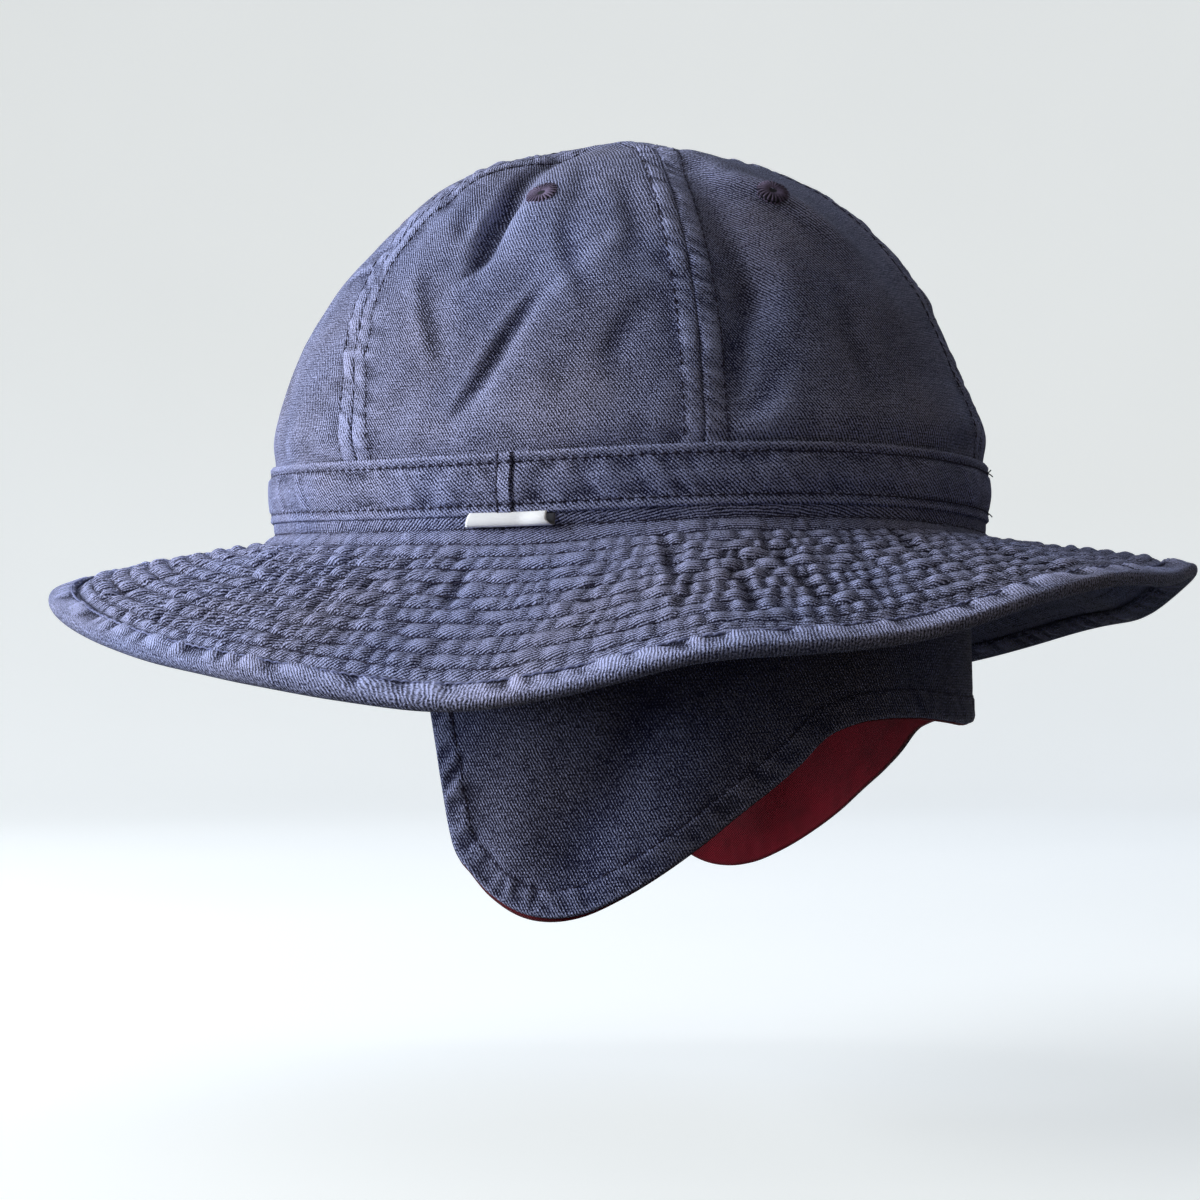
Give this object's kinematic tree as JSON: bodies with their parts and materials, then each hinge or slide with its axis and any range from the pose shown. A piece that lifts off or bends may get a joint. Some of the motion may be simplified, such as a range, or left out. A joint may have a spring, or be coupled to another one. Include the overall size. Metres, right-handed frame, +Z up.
{
  "type": "fatigue cap with ear flaps",
  "caption": "Soft round cap with a panelled crown, a band, a stitched drooping brim and a lined flap that hangs over the ears and neck.",
  "frame": {"origin": "middle of the head opening, at the seam of crown and brim", "axes": "+Z up through the crown's top, -Y towards the front of the cap, +X towards the wearer's left"},
  "size_m": [0.2783, 0.331, 0.2167],
  "materials": {
    "crown_twill": "faded navy cotton twill, matt",
    "eyelet_thread": "purple-brown embroidery thread",
    "band_twill": "faded navy cotton twill, matt, worn pale at its edges",
    "brim_twill": "faded navy cotton twill, stitched in rows and puckered",
    "binding_twill": "faded navy cotton twill cut on the bias, worn pale",
    "flap_twill": "dark navy cotton twill, less faded than the crown",
    "flap_lining": "wine red cotton, matt",
    "label_weave": "white woven tape, plain"
  },
  "bodies": {
    "root": {"crown_panel_1": "crown_twill", "crown_panel_2": "crown_twill", "crown_panel_3": "crown_twill", "crown_panel_4": "crown_twill", "crown_panel_5": "crown_twill", "crown_panel_6": "crown_twill", "eyelet_1": "eyelet_thread", "eyelet_2": "eyelet_thread", "eyelet_3": "eyelet_thread", "eyelet_4": "eyelet_thread", "eyelet_5": "eyelet_thread", "eyelet_6": "eyelet_thread", "hat_band": "band_twill", "brim": "brim_twill", "brim_binding": "binding_twill", "flap_shell": "flap_twill", "flap_lining": "flap_lining", "side_label": "label_weave"}
  },
  "joints": []
}
